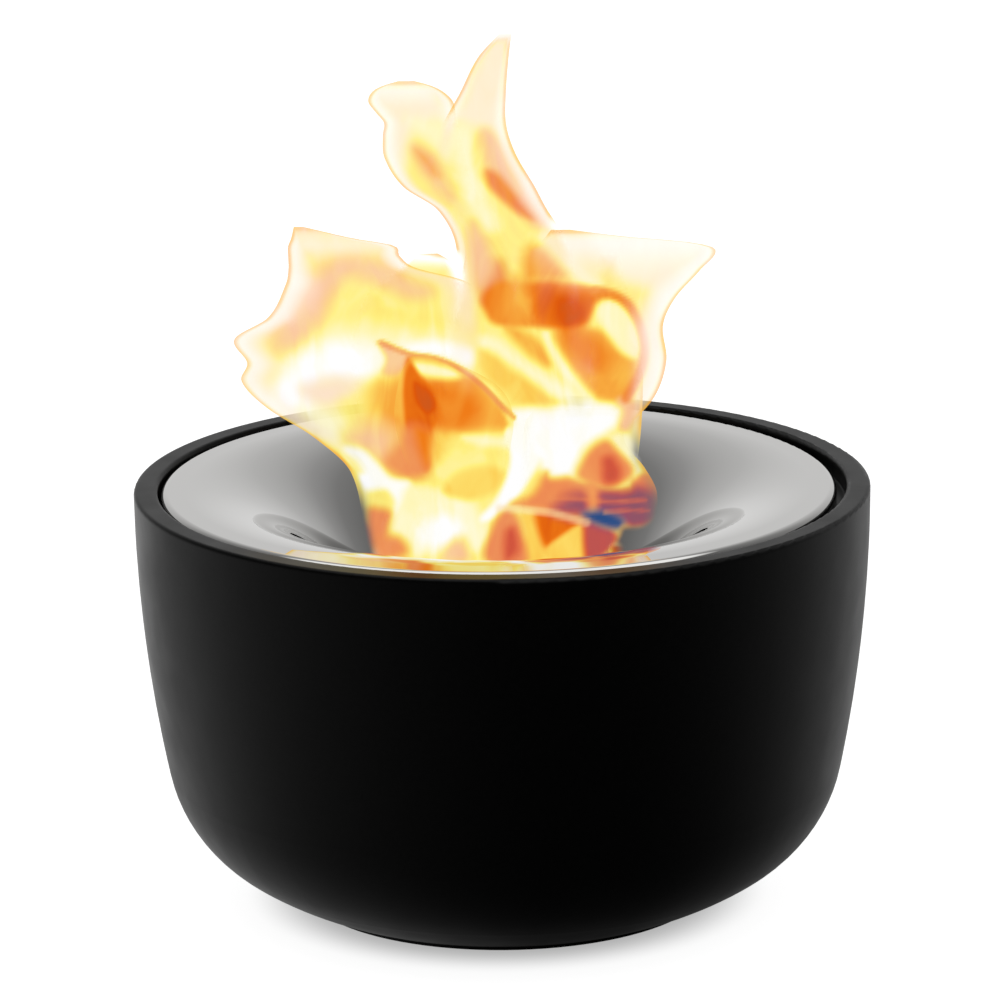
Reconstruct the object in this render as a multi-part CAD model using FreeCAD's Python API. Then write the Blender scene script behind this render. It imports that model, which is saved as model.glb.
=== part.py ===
import FreeCAD, Part
import math
import os
from collections import namedtuple

# A tabletop fireplace: a black glazed bowl, a polished funnel-shaped fire plate lying loose in its
# mouth, and a fuel burner hanging in the plate's throat.  Millimetres, +Z up, origin on the table
# under the middle of the bowl.

V = FreeCAD.Vector
AXIS = V(0, 0, 1)

# Bowl: outside
rim_radius = 120.0          # half of the overall width
bowl_height = 139.0         # table to the top of the rim
rim_land = 7.7              # width of the flat top of the rim
rim_outer_round = 1.2
rim_inner_round = 1.0
foot_radius = 66.5
foot_width = 10.0
foot_rise = 1.8             # table to where the underside leaves the foot
foot_lift = 0.8             # table to the glazed foot, which stands on a silicone ring
foot_recess = 3.0           # hollow under the bowl, inside the foot
underside_lean = 20.0       # degrees above level where the underside leaves the foot
underside_radius = 109.0
underside_turn = 13.8       # degrees
corner_radius = 48.7
corner_turn = 44.8          # degrees
# Bowl: inside
wall = 7.0
ledge_width = 8.0           # shelf in the mouth that carries the fire plate
ledge_depth = 3.0           # height of the shelf's upright lip
# Foot ring
ring_width = 4.0
ring_height = 2.4
ring_clearance = 0.1
# Seat pads
pad_count = 3
pad_radius = 3.2
pad_height = 1.0
pad_margin = 0.4            # pad to the wall of the mouth
# Fire plate
plate_clearance = 2.0       # all round, plate to the wall of the mouth
plate_sheet = 1.0
plate_sunk = 0.5            # crest of the plate below the rim
plate_shift = -1.2          # the loose plate lies this far off the middle, to the left
edge_roll = 2.6             # radius of the rolled-down edge
skirt_height = 5.0          # crest to the lower edge of the rolled-down edge
margin_width = 8.0          # level margin with the roll
throat_radius = 45.0        # where the trumpet-shaped funnel comes upright
neck_length = 7.0           # upright neck below the funnel
# Burner seat
seat_sheet = 1.0
seat_collar = 5.0
seat_gap = 0.1
# Burner
cup_sheet = 0.8
burner_air = 17.7           # floor of the bowl to the cup
cup_corner = 6.0
flange_width = 3.4
flange_clearance = 0.5      # flange to the neck
cup_clearance = 0.7         # cup to the hole of the burner seat
cap_sheet = 1.0
cap_width = 9.0             # throat to the burner's mouth
mouth_lip = 4.0             # upturned lip round the burner's mouth
lip_round = 1.6
mesh_sheet = 0.8
mesh_clearance = 0.2
mesh_hole = 2.3             # radius of one hole
mesh_pitch = 8.0
pad_clearance = 0.3
mesh_drop = 0.4             # top of the mesh below the top of the cup's flange
# Flame
flame_gap = 0.3             # flame to the mesh
drawn_mouth = 36.0          # burner's mouth that the billows are drawn for
flame_spread = 0.6          # the layers part by this share half-way up
flame_bow = 0.5             # half the depth of a billow against half its width

# Derived places
mouth = rim_radius - rim_land
crest = bowl_height - plate_sunk
skirt_bottom = crest - skirt_height
ledge_top = skirt_bottom - pad_height
ledge_radius = mouth - ledge_width
plate_radius = mouth - plate_clearance
margin_radius = plate_radius - margin_width
funnel_radius = margin_radius - throat_radius
throat_top = crest - funnel_radius
neck_bottom = throat_top - neck_length
neck_radius = throat_radius + plate_sheet
flange_radius = throat_radius - flange_clearance
cup_radius = flange_radius - flange_width
seat_hole = cup_radius + cup_clearance
cup_bore = cup_radius - cup_sheet
flange_top = neck_bottom + cup_sheet
floor_top = foot_rise + wall * math.cos(math.radians(underside_lean))
cup_bottom = floor_top + burner_air
mesh_top = flange_top - mesh_drop
mesh_radius = cup_bore - mesh_clearance
pad_top = mesh_top - mesh_sheet
cap_top = flange_top + cap_sheet
mouth_radius = throat_radius - cap_width
flame_base = mesh_top + flame_gap
flame_size = mouth_radius / drawn_mouth


def p(r, z):
    return V(r, 0, z)


def line(a, b):
    return Part.makeLine(a, b)


def arc(centre, radius, start, end):
    """Arc in the profile plane, angles in degrees from +X towards +Z."""
    def at(angle):
        turn = math.radians(angle)
        return centre + V(radius * math.cos(turn), 0, radius * math.sin(turn))
    return Part.Arc(at(start), at((start + end) / 2), at(end)).toShape()


def polyline(*points):
    return [line(a, b) for a, b in zip(points, points[1:])]


def turned(edges):
    """Solid of revolution about Z from a closed profile."""
    wire = Part.Wire(Part.__sortEdges__(edges))
    return Part.Face(wire).revolve(V(0, 0, 0), AXIS, 360)


def tube(inner, outer, bottom, top):
    solid = Part.makeCylinder(outer, top - bottom, p(0, bottom))
    return solid.cut(Part.makeCylinder(inner, top - bottom, p(0, bottom)))


def wall_curve(inset):
    """Underside, corner and wall of the bowl from the foot up, moved inwards by an inset.

    Returns the edges, the lowest point and the highest point."""
    heading = underside_lean
    inward = math.radians(heading + 90)
    start = p(foot_radius, foot_rise)
    point = start + V(math.cos(inward), 0, math.sin(inward)) * inset
    lowest = point
    edges = []
    for radius, turn in ((underside_radius, underside_turn), (corner_radius, corner_turn)):
        side = math.radians(heading + 90)
        centre = point + V(math.cos(side), 0, math.sin(side)) * (radius - inset)
        edges.append(arc(centre, radius - inset, heading - 90, heading - 90 + turn))
        heading += turn
        out = math.radians(heading - 90)
        point = centre + V(math.cos(out), 0, math.sin(out)) * (radius - inset)
    end = p(rim_radius, bowl_height - rim_outer_round) if inset == 0 else p(mouth, ledge_bottom())
    tangent = V(math.cos(math.radians(heading)), 0, math.sin(math.radians(heading)))
    edges.append(Part.Edge(Part.Arc(point, bulge_point(point, end, tangent), end)))
    return edges, lowest, end


def bulge_point(start, end, tangent):
    """Middle of the arc that leaves start along the tangent and comes to the end."""
    chord = end - start
    level = chord.Length
    direction = V(chord).normalize()
    across = tangent - direction * tangent.dot(direction)
    lean = math.atan2(across.Length, tangent.dot(direction))
    rise = level / 2 * math.tan(lean / 2)
    return start + chord * 0.5 + V(across).normalize() * rise


def ledge_bottom():
    """Height where the slanted underside of the ledge runs into the wall."""
    return ledge_top - ledge_depth - ledge_width


def bowl():
    outside, foot_edge, rim_edge = wall_curve(0)
    inside, floor_edge, shelf_edge = wall_curve(wall)
    recess_radius = foot_radius - foot_width
    groove_in = foot_radius - foot_width / 2 - ring_width / 2 - ring_clearance
    groove_out = groove_in + ring_width + 2 * ring_clearance
    recess_top = foot_lift + foot_recess
    under = polyline(
        p(0, recess_top), p(recess_radius, recess_top), p(recess_radius, foot_lift),
        p(groove_in, foot_lift), p(groove_in, ring_height), p(groove_out, ring_height),
        p(groove_out, foot_lift), p(foot_radius, foot_lift), foot_edge)
    rim = [
        arc(p(rim_radius - rim_outer_round, bowl_height - rim_outer_round), rim_outer_round, 0, 90),
        line(p(rim_radius - rim_outer_round, bowl_height), p(mouth + rim_inner_round, bowl_height)),
        arc(p(mouth + rim_inner_round, bowl_height - rim_inner_round), rim_inner_round, 90, 180)]
    shelf = polyline(
        p(mouth, bowl_height - rim_inner_round), p(mouth, ledge_top), p(ledge_radius, ledge_top),
        p(ledge_radius, ledge_top - ledge_depth), shelf_edge)
    floor = polyline(floor_edge, p(0, floor_edge.z), p(0, recess_top))
    return turned(under + outside + rim + shelf + inside + floor)


def foot_ring():
    middle = foot_radius - foot_width / 2
    return tube(middle - ring_width / 2, middle + ring_width / 2, 0, ring_height)


def seat_pad(index):
    angle = math.radians(90 + index * 360 / pad_count)
    reach = mouth - pad_margin - pad_radius
    place = V(reach * math.cos(angle), reach * math.sin(angle), ledge_top)
    return Part.makeCylinder(pad_radius, pad_height, place)


def fire_plate():
    roll_centre = p(plate_radius - edge_roll, crest - edge_roll)
    funnel_centre = p(margin_radius, throat_top)
    under_roll = edge_roll - plate_sheet
    under_funnel = funnel_radius - plate_sheet
    top = [
        line(p(plate_radius, skirt_bottom), p(plate_radius, crest - edge_roll)),
        arc(roll_centre, edge_roll, 0, 90),
        line(p(plate_radius - edge_roll, crest), p(margin_radius, crest)),
        arc(funnel_centre, funnel_radius, 90, 180),
        line(p(throat_radius, throat_top), p(throat_radius, neck_bottom))]
    under = [
        line(p(throat_radius, neck_bottom), p(neck_radius, neck_bottom)),
        line(p(neck_radius, neck_bottom), p(neck_radius, throat_top)),
        arc(funnel_centre, under_funnel, 180, 90),
        line(p(margin_radius, crest - plate_sheet), p(plate_radius - edge_roll, crest - plate_sheet)),
        arc(roll_centre, under_roll, 90, 0),
        line(p(plate_radius - plate_sheet, crest - edge_roll), p(plate_radius - plate_sheet, skirt_bottom)),
        line(p(plate_radius - plate_sheet, skirt_bottom), p(plate_radius, skirt_bottom))]
    return turned(top + under)


def burner_seat():
    collar_in = neck_radius + seat_gap
    collar_out = collar_in + seat_sheet
    return turned(polyline(
        p(seat_hole, neck_bottom - seat_sheet), p(collar_out, neck_bottom - seat_sheet),
        p(collar_out, neck_bottom + seat_collar), p(collar_in, neck_bottom + seat_collar),
        p(collar_in, neck_bottom), p(seat_hole, neck_bottom), p(seat_hole, neck_bottom - seat_sheet)))


def burner_cup():
    corner = p(cup_radius - cup_corner, cup_bottom + cup_corner)
    floor = cup_bottom + cup_sheet
    return turned([
        line(p(0, cup_bottom), p(cup_radius - cup_corner, cup_bottom)),
        arc(corner, cup_corner, -90, 0),
        line(p(cup_radius, cup_bottom + cup_corner), p(cup_radius, neck_bottom)),
        line(p(cup_radius, neck_bottom), p(flange_radius, neck_bottom)),
        line(p(flange_radius, neck_bottom), p(flange_radius, flange_top)),
        line(p(flange_radius, flange_top), p(cup_bore, flange_top)),
        line(p(cup_bore, flange_top), p(cup_bore, cup_bottom + cup_corner)),
        arc(corner, cup_corner - cup_sheet, 0, -90),
        line(p(cup_radius - cup_corner, floor), p(0, floor)),
        line(p(0, floor), p(0, cup_bottom))])


def wick_pad():
    floor = cup_bottom + cup_sheet
    radius = cup_bore - pad_clearance
    pad = Part.makeCylinder(radius, pad_top - floor, p(0, floor))
    bottom = [e for e in pad.Edges if abs(e.BoundBox.ZMax - floor) < 0.01]
    return pad.makeFillet(cup_corner, bottom)


def burner_mesh():
    disc = Part.makeCylinder(mesh_radius, mesh_sheet, p(0, pad_top))
    row_pitch = mesh_pitch * math.sqrt(3) / 2
    reach = mouth_radius - mesh_hole
    rows = int(reach / row_pitch)
    columns = int(reach / mesh_pitch) + 1
    holes = []
    for row in range(-rows, rows + 1):
        for column in range(-columns, columns + 1):
            x = (column + (row % 2) / 2) * mesh_pitch
            y = row * row_pitch
            if math.hypot(x, y) < reach:
                holes.append(Part.makeCylinder(mesh_hole, mesh_sheet, V(x, y, pad_top)))
    return disc.cut(Part.makeCompound(holes))


def burner_cap():
    lip_out = mouth_radius + cap_sheet
    bend = p(lip_out + lip_round, cap_top + lip_round)
    lip_top = cap_top + mouth_lip
    return turned([
        line(p(flange_radius, flange_top), p(flange_radius, cap_top)),
        line(p(flange_radius, cap_top), p(lip_out + lip_round, cap_top)),
        arc(bend, lip_round, 270, 180),
        line(p(lip_out, cap_top + lip_round), p(lip_out, lip_top)),
        line(p(lip_out, lip_top), p(mouth_radius, lip_top)),
        line(p(mouth_radius, lip_top), p(mouth_radius, cap_top + lip_round)),
        arc(bend, lip_round + cap_sheet, 180, 270),
        line(p(lip_out + lip_round, flange_top), p(flange_radius, flange_top))])


# The flame is a bunch of billows, side by side and one behind another.  A station of a billow is its
# height over the burner with the left and right edge there, from the burner's middle.
Layer = namedtuple("Layer", "depth bow")
FRONT = Layer(-19, 6)
MIDDLE = Layer(0, 9)
BACK = Layer(18, 6)
FAR_BACK = Layer(28.5, 3.5)
Billow = namedtuple("Billow", "layer stations")
FRONT_LEFT = Billow(FRONT, (
    (0, -16, -4), (34, -24, -5), (58, -25, -3), (71, -27, 2), (83, -31, 4), (94, -33, 5), (103, -32, 1),
    (110, -30, -10), (114, -27, -22)))
FRONT_RIGHT = Billow(FRONT, (
    (0, 2, 18), (36, 2, 36), (54, 4, 49), (67, 6, 51), (76, 7, 47), (84, 8, 41), (92, 9, 40), (96, 12, 37)))
LEFT_BILLOW = Billow(MIDDLE, (
    (0, -30, -2), (43, -43, 2), (68, -48, 4), (80, -60, 3), (90, -75, 2), (99, -83, 0), (105, -81, -1),
    (113, -85, -3), (120, -74, -5), (131, -68, -8), (137, -67, -17), (142, -67, -40), (150, -65, -62)))
RIGHT_BILLOW = Billow(MIDDLE, (
    (0, 4, 30), (43, 6, 38), (64, 8, 40), (80, 8, 42), (92, 6, 51), (104, 4, 55), (116, 3, 54), (125, 4, 58),
    (134, 8, 66), (141, 10, 71), (144, 14, 60), (149, 17, 30)))
TALL_BILLOW = Billow(BACK, (
    (0, -10, 12), (54, -16, 20), (101, -18, 26), (124, -12, 26), (134, -10, 25), (141, -11, 22),
    (149, -15, 17), (157, -20, 13), (168, -21, 7), (178, -17, 4), (189, -11, 4), (201, -5, 5), (209, 2, 6)))
BACK_LEFT = Billow(BACK, (
    (0, -26, -14), (54, -40, -20), (100, -50, -23), (122, -46, -22), (131, -38, -22), (136, -32, -27)))
BACK_RIGHT = Billow(BACK, ((0, 16, 26), (54, 24, 44), (92, 30, 48), (118, 31, 44), (134, 34, 40)))
LOBE = Billow(FAR_BACK, (
    (0, -8, 8), (45, -20, 18), (80, -18, 16), (110, -14, 10), (133, -13, 4), (146, -19, 0), (154, -30, -7),
    (164, -36, -9), (175, -37, -12), (181, -35, -13), (185, -40, -15), (189, -38, -20), (191, -34, -26)))
BILLOWS = (FRONT_LEFT, FRONT_RIGHT, LEFT_BILLOW, RIGHT_BILLOW, TALL_BILLOW, BACK_LEFT, BACK_RIGHT, LOBE)
TALLEST = max(height for billow in BILLOWS for height, _, _ in billow.stations)


def billow_section(layer, height, left_edge, right_edge):
    """Lens across a billow, two arcs from its left edge to its right edge."""
    spread = flame_size * (1 + flame_spread * math.sin(math.pi * height / TALLEST))
    depth = layer.depth * spread
    bow = min(flame_bow * (right_edge - left_edge) / 2, layer.bow) * spread
    level = flame_base + height * flame_size
    left = V(left_edge * flame_size, depth, level)
    right = V(right_edge * flame_size, depth, level)
    middle = (left + right) * 0.5
    return Part.Wire([
        Part.Arc(left, middle - V(0, bow, 0), right).toShape(),
        Part.Arc(right, middle + V(0, bow, 0), left).toShape()])


def flame():
    solids = []
    for billow in BILLOWS:
        sections = [billow_section(billow.layer, *station) for station in billow.stations]
        solids.append(Part.makeLoft(sections, True, True))
    return Part.makeCompound(solids)


def moved_with_plate(shape):
    """The plate and all that hangs in it lie a little off the middle of the bowl."""
    return shape.translated(V(plate_shift, 0, 0))


nodes = {"bowl": bowl(), "foot_ring": foot_ring()}
for index in range(pad_count):
    nodes["seat_pad_%d" % (index + 1)] = seat_pad(index)
for make in (fire_plate, burner_seat, burner_cup, wick_pad, burner_mesh, burner_cap, flame):
    nodes[make.__name__] = moved_with_plate(make())

os.makedirs("parts", exist_ok=True)
for name, shape in nodes.items():
    shape.exportStep("parts/%s.step" % name)
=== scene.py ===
import math
from collections import namedtuple

import bpy
import numpy as np
from mathutils import Matrix, Vector


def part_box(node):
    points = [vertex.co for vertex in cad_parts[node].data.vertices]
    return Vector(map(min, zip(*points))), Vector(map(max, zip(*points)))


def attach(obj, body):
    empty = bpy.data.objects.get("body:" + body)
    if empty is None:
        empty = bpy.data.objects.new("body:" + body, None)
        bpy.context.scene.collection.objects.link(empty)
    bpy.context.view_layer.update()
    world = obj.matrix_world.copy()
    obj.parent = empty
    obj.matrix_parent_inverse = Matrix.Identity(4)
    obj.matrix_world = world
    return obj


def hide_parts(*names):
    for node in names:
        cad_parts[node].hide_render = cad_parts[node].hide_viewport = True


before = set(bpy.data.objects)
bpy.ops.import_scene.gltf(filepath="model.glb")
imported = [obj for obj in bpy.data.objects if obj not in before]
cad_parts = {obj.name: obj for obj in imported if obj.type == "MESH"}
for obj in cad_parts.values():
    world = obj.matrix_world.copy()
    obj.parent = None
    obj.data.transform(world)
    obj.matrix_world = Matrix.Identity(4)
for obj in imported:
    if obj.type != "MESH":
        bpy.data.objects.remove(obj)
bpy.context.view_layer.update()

MM = 0.001

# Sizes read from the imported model, in metres
bowl_low, bowl_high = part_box("bowl")
plate_low, plate_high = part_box("fire_plate")
ring_low, ring_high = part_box("foot_ring")
flame_low, flame_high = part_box("flame")
rim_height = bowl_high[2]
rim_radius = (bowl_high[0] - bowl_low[0]) / 2
foot_radius = (ring_high[0] - ring_low[0]) / 2
plate_middle = (plate_low[0] + plate_high[0]) / 2
plate_radius = (plate_high[0] - plate_low[0]) / 2
margin_width = 8 * MM                           # level margin with the rolled edge
margin_radius = plate_radius - margin_width     # where the funnel's quarter round begins
throat_radius = 45 * MM
throat_top = plate_high[2] - (margin_radius - throat_radius)
edge_roll = 2.6 * MM
roll_radius = plate_radius - edge_roll
roll_level = plate_high[2] - edge_roll
flame_base = flame_low[2]
flame_height = flame_high[2] - flame_low[2]

# The photograph's viewing angle
IMAGE = 1000                        # pixels, each way
RIM_PIXELS = 736                    # width of the rim in the photograph
RIM_MIDDLE = (502, 482)             # pixel of the middle of the rim
CAMERA_DISTANCE = 2.0               # metres, level
CAMERA_ELEVATION = math.radians(14.6)
CAMERA_ROLL = math.radians(-0.7)
SENSOR = 36                         # millimetres


def linear(hex_colour):
    """Linear red, green and blue of an sRGB colour written as six hex digits."""
    def channel(pair):
        value = int(pair, 16) / 255
        return value / 12.92 if value <= 0.04045 else ((value + 0.055) / 1.055) ** 2.4
    return tuple(channel(hex_colour[i:i + 2]) for i in (0, 2, 4)) + (1.0,)


def add(tree, kind, inputs=None, stops=(), **settings):
    """Adds one node: its settings, its inputs as values or as links, and the colour stops of a ramp."""
    node = tree.nodes.new(kind)
    for name, value in settings.items():
        setattr(node, name, value)
    for socket, value in (inputs or {}).items():
        if isinstance(value, bpy.types.NodeSocket):
            tree.links.new(value, node.inputs[socket])
        else:
            node.inputs[socket].default_value = value
    for index, (place, colour) in enumerate(stops):
        elements = node.color_ramp.elements
        element = elements[index] if index < 2 else elements.new(place)
        element.position = place
        element.color = linear(colour)
    return node


def empty_material(name):
    material = bpy.data.materials.new(name)
    material.use_nodes = True
    material.node_tree.nodes.clear()
    return material, material.node_tree


# Materials

def satin_black_glaze():
    """Stoneware under a satin black glaze: nearly no colour of its own, a soft sheen that grows
    towards grazing angles, and the faint unevenness of a sprayed and fired coat."""
    material, tree = empty_material("satin_black_glaze")
    place = add(tree, "ShaderNodeTexCoord").outputs["Object"]
    speck = add(tree, "ShaderNodeTexNoise", {"Vector": place, "Scale": 1 / (1.6 * MM), "Detail": 3.0})
    swell = add(tree, "ShaderNodeTexNoise", {"Vector": place, "Scale": 1 / (14 * MM), "Detail": 2.0})
    tint = add(tree, "ShaderNodeValToRGB", {"Fac": speck.outputs["Fac"]}, ((0.35, "020202"), (0.7, "070706")))
    sheen = add(tree, "ShaderNodeMapRange", {"Value": swell.outputs["Fac"], "To Min": 0.30, "To Max": 0.42})
    even = add(tree, "ShaderNodeBevel", {"Radius": 1.2 * MM}, samples=6)
    fine = add(tree, "ShaderNodeBump", {"Height": speck.outputs["Fac"], "Normal": even.outputs["Normal"],
                                        "Strength": 0.04, "Distance": 0.1 * MM})
    coarse = add(tree, "ShaderNodeBump", {"Height": swell.outputs["Fac"], "Normal": fine.outputs["Normal"],
                                          "Strength": 0.05, "Distance": 1.0 * MM})
    shader = add(tree, "ShaderNodeBsdfPrincipled", {
        "Base Color": tint.outputs["Color"], "Roughness": sheen.outputs["Result"],
        "Normal": coarse.outputs["Normal"], "Specular IOR Level": 0.16})
    add(tree, "ShaderNodeOutputMaterial", {"Surface": shader.outputs["BSDF"]})
    return material


def spun_marks(tree, pitch, wander):
    """Place from the plate's axis, reach from it, the fine turning marks that spinning leaves round it, and
    slow blotches."""
    place = add(tree, "ShaderNodeTexCoord").outputs["Object"]
    centred = add(tree, "ShaderNodeVectorMath", {0: place, 1: (-plate_middle, 0, 0)}).outputs[0]
    flat = add(tree, "ShaderNodeVectorMath", {0: centred, 1: (1, 1, 0)}, operation="MULTIPLY")
    reach = add(tree, "ShaderNodeVectorMath", {0: flat.outputs[0]}, operation="LENGTH").outputs["Value"]
    ring = add(tree, "ShaderNodeMath", {0: reach, 1: 1 / pitch}, operation="MULTIPLY")
    mark = add(tree, "ShaderNodeTexNoise", {"W": ring.outputs[0], "Scale": 1.0, "Detail": 4.0},
               noise_dimensions="1D")
    blotch = add(tree, "ShaderNodeTexNoise", {"Vector": place, "Scale": 1 / wander, "Detail": 2.0})
    return centred, reach, mark.outputs["Fac"], blotch.outputs["Fac"]


def spun_normal(tree, centred, reach):
    """True normal of the plate's funnel, margin and rolled edge, so that the mirror shows no facets: it leads
    away from a ring under the margin's inner end, or under its outer end.  Cut edges keep the mesh's own."""
    apart = add(tree, "ShaderNodeSeparateXYZ", {"Vector": centred})
    nearest = add(tree, "ShaderNodeClamp", {"Value": reach, "Min": margin_radius, "Max": roll_radius})
    outward = add(tree, "ShaderNodeMath", {0: reach, 1: nearest.outputs[0]}, operation="SUBTRACT")
    within = add(tree, "ShaderNodeMath", {0: reach, 1: margin_radius}, operation="LESS_THAN")
    level = add(tree, "ShaderNodeMapRange", {"Value": within.outputs[0],
                                             "To Min": roll_level, "To Max": throat_top})
    upward = add(tree, "ShaderNodeMath", {0: apart.outputs["Z"], 1: level.outputs["Result"]},
                 operation="SUBTRACT")
    lifted = add(tree, "ShaderNodeMath", {0: upward.outputs[0], 1: 0.0}, operation="MAXIMUM")
    slant = add(tree, "ShaderNodeMath", {0: outward.outputs[0], 1: reach}, operation="DIVIDE")
    spread = add(tree, "ShaderNodeCombineXYZ", {"X": slant.outputs[0], "Y": slant.outputs[0], "Z": 0.0})
    flat = add(tree, "ShaderNodeVectorMath", {0: centred, 1: spread.outputs[0]}, operation="MULTIPLY")
    rise = add(tree, "ShaderNodeCombineXYZ", {"Z": lifted.outputs[0]})
    away = add(tree, "ShaderNodeVectorMath", {0: flat.outputs[0], 1: rise.outputs[0]})
    spun = add(tree, "ShaderNodeVectorMath", {0: away.outputs[0]}, operation="NORMALIZE")
    meshed = add(tree, "ShaderNodeNewGeometry").outputs["Normal"]
    side = add(tree, "ShaderNodeVectorMath", {0: spun.outputs[0], 1: meshed}, operation="DOT_PRODUCT")
    sign = add(tree, "ShaderNodeMath", {0: side.outputs["Value"]}, operation="SIGN")
    facing = add(tree, "ShaderNodeVectorMath", {0: spun.outputs[0], "Scale": sign.outputs[0]},
                 operation="SCALE")
    alike = add(tree, "ShaderNodeMath", {0: side.outputs["Value"]}, operation="ABSOLUTE")
    sure = add(tree, "ShaderNodeMath", {0: alike.outputs[0], 1: 0.6}, operation="GREATER_THAN")
    return add(tree, "ShaderNodeMix", {0: sure.outputs[0], 4: meshed, 5: facing.outputs[0]},
               data_type="VECTOR").outputs[1]


def polished_stainless():
    """Spun and mirror-polished stainless steel: a clear reflection with the last trace of the turning
    marks in it, and painted shade that makes its colour a little darker towards the throat."""
    material, tree = empty_material("polished_stainless")
    centred, reach, mark, blotch = spun_marks(tree, 1.2 * MM, 25 * MM)
    # painted shade: the steel's colour is a little darker towards the throat than at the margin
    share = add(tree, "ShaderNodeMapRange", {"Value": reach,
                                             "From Min": throat_radius, "From Max": plate_radius})
    tint = add(tree, "ShaderNodeValToRGB", {"Fac": share.outputs["Result"]},
               ((0.0, "dad9d7"), (0.7, "e3e2e0")))
    gloss = add(tree, "ShaderNodeMapRange", {"Value": blotch, "To Min": 0.003, "To Max": 0.012})
    bump = add(tree, "ShaderNodeBump", {"Height": mark, "Normal": spun_normal(tree, centred, reach),
                                        "Strength": 0.004, "Distance": 0.1 * MM})
    shader = add(tree, "ShaderNodeBsdfPrincipled", {
        "Base Color": tint.outputs["Color"], "Roughness": gloss.outputs["Result"],
        "Normal": bump.outputs["Normal"], "Metallic": 1.0})
    add(tree, "ShaderNodeOutputMaterial", {"Surface": shader.outputs["BSDF"]})
    return material


def tinted_stainless():
    """Drawn stainless steel near a fire: satin, with straw and blue temper colours in patches."""
    material, tree = empty_material("tinted_stainless")
    mark, blotch = spun_marks(tree, 0.8 * MM, 12 * MM)[2:]
    temper = add(tree, "ShaderNodeValToRGB", {"Fac": blotch},
                 ((0.25, "8f8a84"), (0.45, "b3a184"), (0.58, "a98a62"), (0.72, "6f7488")))
    gloss = add(tree, "ShaderNodeMapRange", {"Value": blotch, "To Min": 0.24, "To Max": 0.38})
    bump = add(tree, "ShaderNodeBump", {"Height": mark, "Strength": 0.08, "Distance": 0.1 * MM})
    shader = add(tree, "ShaderNodeBsdfPrincipled", {
        "Base Color": temper.outputs["Color"], "Roughness": gloss.outputs["Result"],
        "Normal": bump.outputs["Normal"], "Metallic": 1.0})
    add(tree, "ShaderNodeOutputMaterial", {"Surface": shader.outputs["BSDF"]})
    return material


def black_silicone():
    """Moulded silicone rubber: matt, dusty black with a fine grain."""
    material, tree = empty_material("black_silicone")
    place = add(tree, "ShaderNodeTexCoord").outputs["Object"]
    grain = add(tree, "ShaderNodeTexNoise", {"Vector": place, "Scale": 1 / (0.7 * MM), "Detail": 3.0})
    tint = add(tree, "ShaderNodeValToRGB", {"Fac": grain.outputs["Fac"]}, ((0.3, "14161a"), (0.75, "22252b")))
    bump = add(tree, "ShaderNodeBump", {"Height": grain.outputs["Fac"],
                                        "Strength": 0.15, "Distance": 0.1 * MM})
    shader = add(tree, "ShaderNodeBsdfPrincipled", {
        "Base Color": tint.outputs["Color"], "Normal": bump.outputs["Normal"], "Roughness": 0.7})
    add(tree, "ShaderNodeOutputMaterial", {"Surface": shader.outputs["BSDF"]})
    return material


def ceramic_fibre():
    """Felted ceramic fibre: chalky off-white, matted strands, scorched brown here and there."""
    material, tree = empty_material("ceramic_fibre")
    place = add(tree, "ShaderNodeTexCoord").outputs["Object"]
    strand = add(tree, "ShaderNodeTexNoise", {"Vector": place, "Scale": 1 / (2.0 * MM), "Detail": 6.0,
                                              "Distortion": 2.5})
    scorch = add(tree, "ShaderNodeTexNoise", {"Vector": place, "Scale": 1 / (16 * MM), "Detail": 2.0})
    tint = add(tree, "ShaderNodeValToRGB", {"Fac": scorch.outputs["Fac"]},
               ((0.35, "e9e4d8"), (0.6, "d5c9b2"), (0.78, "7d6a52")))
    bump = add(tree, "ShaderNodeBump", {"Height": strand.outputs["Fac"],
                                        "Strength": 0.6, "Distance": 0.6 * MM})
    shader = add(tree, "ShaderNodeBsdfPrincipled", {
        "Base Color": tint.outputs["Color"], "Normal": bump.outputs["Normal"], "Roughness": 0.95})
    add(tree, "ShaderNodeOutputMaterial", {"Surface": shader.outputs["BSDF"]})
    return material


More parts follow.
